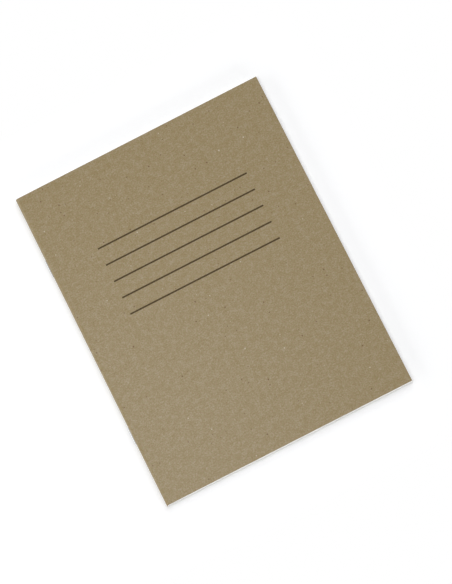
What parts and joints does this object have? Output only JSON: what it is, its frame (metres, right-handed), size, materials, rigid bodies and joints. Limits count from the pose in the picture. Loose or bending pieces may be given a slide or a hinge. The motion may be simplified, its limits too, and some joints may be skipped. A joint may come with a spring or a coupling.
{
  "type": "exercise book",
  "caption": "Closed school exercise book: folded kraft card cover with printed title lines, nested ruled pages, wire staples through the fold, covers that open.",
  "frame": {"origin": "middle of the underside of the closed book, on the surface that it lies on", "axes": "+X from the fold to the fore-edge, +Y from the tail to the head, +Z from the back cover to the front cover"},
  "size_m": [0.1784, 0.229, 0.0046],
  "materials": {
    "kraft_card": "matte",
    "paper": "matte",
    "staple_wire": "satin",
    "title_ink": "matte",
    "feint_ink": "matte"
  },
  "bodies": {
    "book_block": {"pages": "paper", "cover_spine": "kraft_card", "staple_upper": "staple_wire", "staple_lower": "staple_wire", "first_page_ruling": "feint_ink", "last_page_ruling": "feint_ink"},
    "front_cover_swing": {"front_cover": "kraft_card", "title_lines": "title_ink"},
    "back_cover_swing": {"back_cover": "kraft_card"}
  },
  "joints": [
    {"name": "front_cover_hinge", "type": "hinge", "parent": "book_block", "child": "front_cover_swing", "pos_m": [-0.0865, 0, 0.0046], "axis": [0, -1, 0], "range_deg": [0, 180]},
    {"name": "back_cover_hinge", "type": "hinge", "parent": "book_block", "child": "back_cover_swing", "pos_m": [-0.0865, 0, 0], "axis": [0, 1, 0], "range_deg": [0, 180]}
  ]
}
